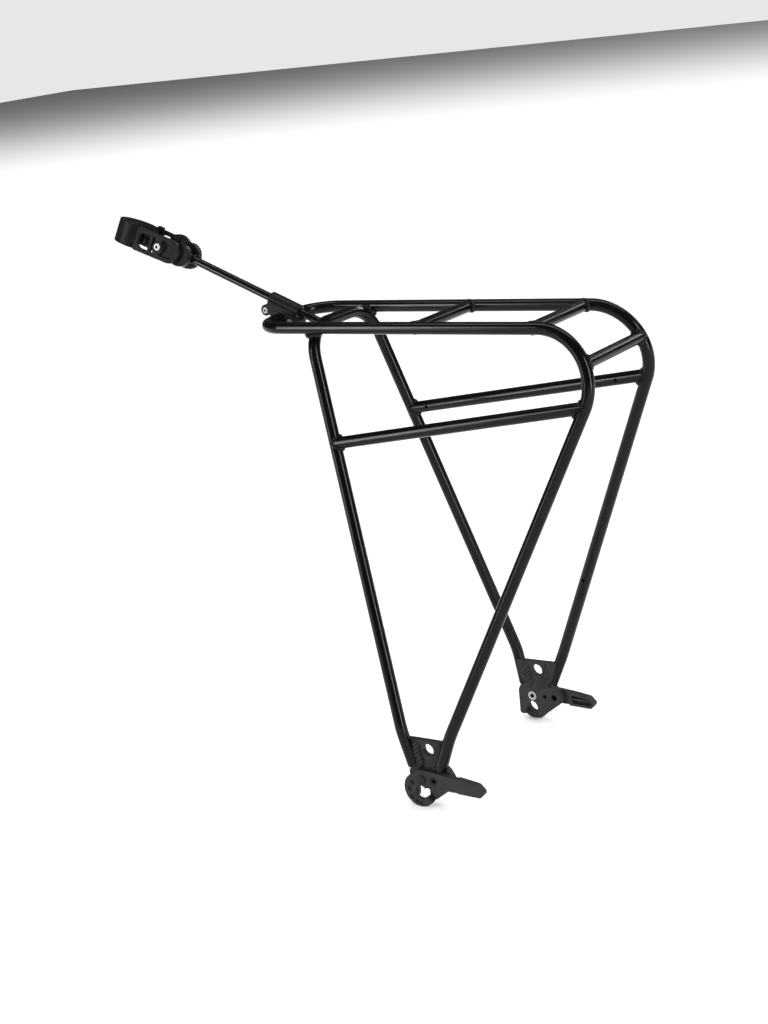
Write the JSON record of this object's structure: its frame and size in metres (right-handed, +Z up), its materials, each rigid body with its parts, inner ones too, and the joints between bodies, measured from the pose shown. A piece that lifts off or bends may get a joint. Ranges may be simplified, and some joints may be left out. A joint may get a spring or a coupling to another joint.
{
  "type": "rear rack",
  "caption": "Welded tube carrier for the back of a bicycle, with a lever latch at each dropout and a sliding, tilting strut to a seatpost clamp.",
  "frame": {"origin": "midway between the two dropout slots, on the line of the rack bolts", "axes": "+X to the rear of the bicycle, +Y to its right-hand side, +Z up"},
  "size_m": [0.4882, 0.1952, 0.4768],
  "materials": {
    "tube": "satin black powder coat",
    "plate": "matt black powder coat",
    "lever": "matt black coating",
    "steel": "bright zinc plate",
    "black_steel": "black oxide",
    "washer": "matt black",
    "rod": "gloss black",
    "moulding": "fine-grained black nylon",
    "bush": "smooth black nylon",
    "liner": "matt black"
  },
  "bodies": {
    "frame": {"deck_hoop": "tube", "front_hoop": "tube", "rear_leg_left": "tube", "rear_leg_right": "tube", "side_rail_left": "tube", "side_rail_right": "tube", "cross_tube_front": "tube", "cross_tube_middle": "tube", "cross_tube_rear": "tube", "dropout_plate_left": "plate", "dropout_plate_right": "plate", "lever_rivet_left": "steel", "lever_rivet_right": "steel", "lever_washer_left": "washer", "lever_washer_right": "washer"},
    "lever_left": {"lock_lever_left": "lever", "detent_screw_left": "black_steel"},
    "lever_right": {"lock_lever_right": "lever", "detent_screw_right": "black_steel"},
    "holder": {"strut_holder": "moulding", "holder_strap": "moulding", "holder_bolt_front": "steel", "holder_bolt_rear": "steel", "holder_nuts": "steel"},
    "bush": {"sleeve_bush": "bush"},
    "strut": {"strut_rod": "rod", "strut_eye": "rod"},
    "clamp": {"band_strap": "moulding", "band_liner": "liner", "arm_left": "moulding", "arm_right": "moulding", "rear_saddle": "moulding", "knuckle_disc_left": "moulding", "knuckle_disc_right": "moulding", "knuckle_pin": "black_steel", "clamp_screw": "steel", "clamp_nut": "steel"}
  },
  "joints": [
    {"name": "lever_left_turn", "type": "hinge", "parent": "frame", "child": "lever_left", "pos_m": [0.0023, -0.094, 0.0115], "axis": [0, 1, 0], "range_deg": [0, 39]},
    {"name": "lever_right_turn", "type": "hinge", "parent": "frame", "child": "lever_right", "pos_m": [0.0023, 0.094, 0.0115], "axis": [0, 1, 0], "range_deg": [0, 39]},
    {"name": "holder_tilt", "type": "hinge", "parent": "frame", "child": "holder", "pos_m": [-0.146, 0, 0.373], "axis": [0, 1, 0], "range_deg": [-3, 35]},
    {"name": "strut_twist", "type": "hinge", "parent": "holder", "child": "bush", "pos_m": [-0.14203, 0, 0.38225], "axis": [-0.9188, 0, 0.3947], "range_deg": [-60, 40]},
    {"name": "strut_slide", "type": "slide", "parent": "bush", "child": "strut", "axis": [-0.9188, 0, 0.3947], "range_m": [-0.055, 0.018]},
    {"name": "clamp_tilt", "type": "hinge", "parent": "strut", "child": "clamp", "pos_m": [-0.24704, 0, 0.42737], "axis": [-0.1008, 0.9668, -0.2347], "range_deg": [-35, 35]}
  ]
}
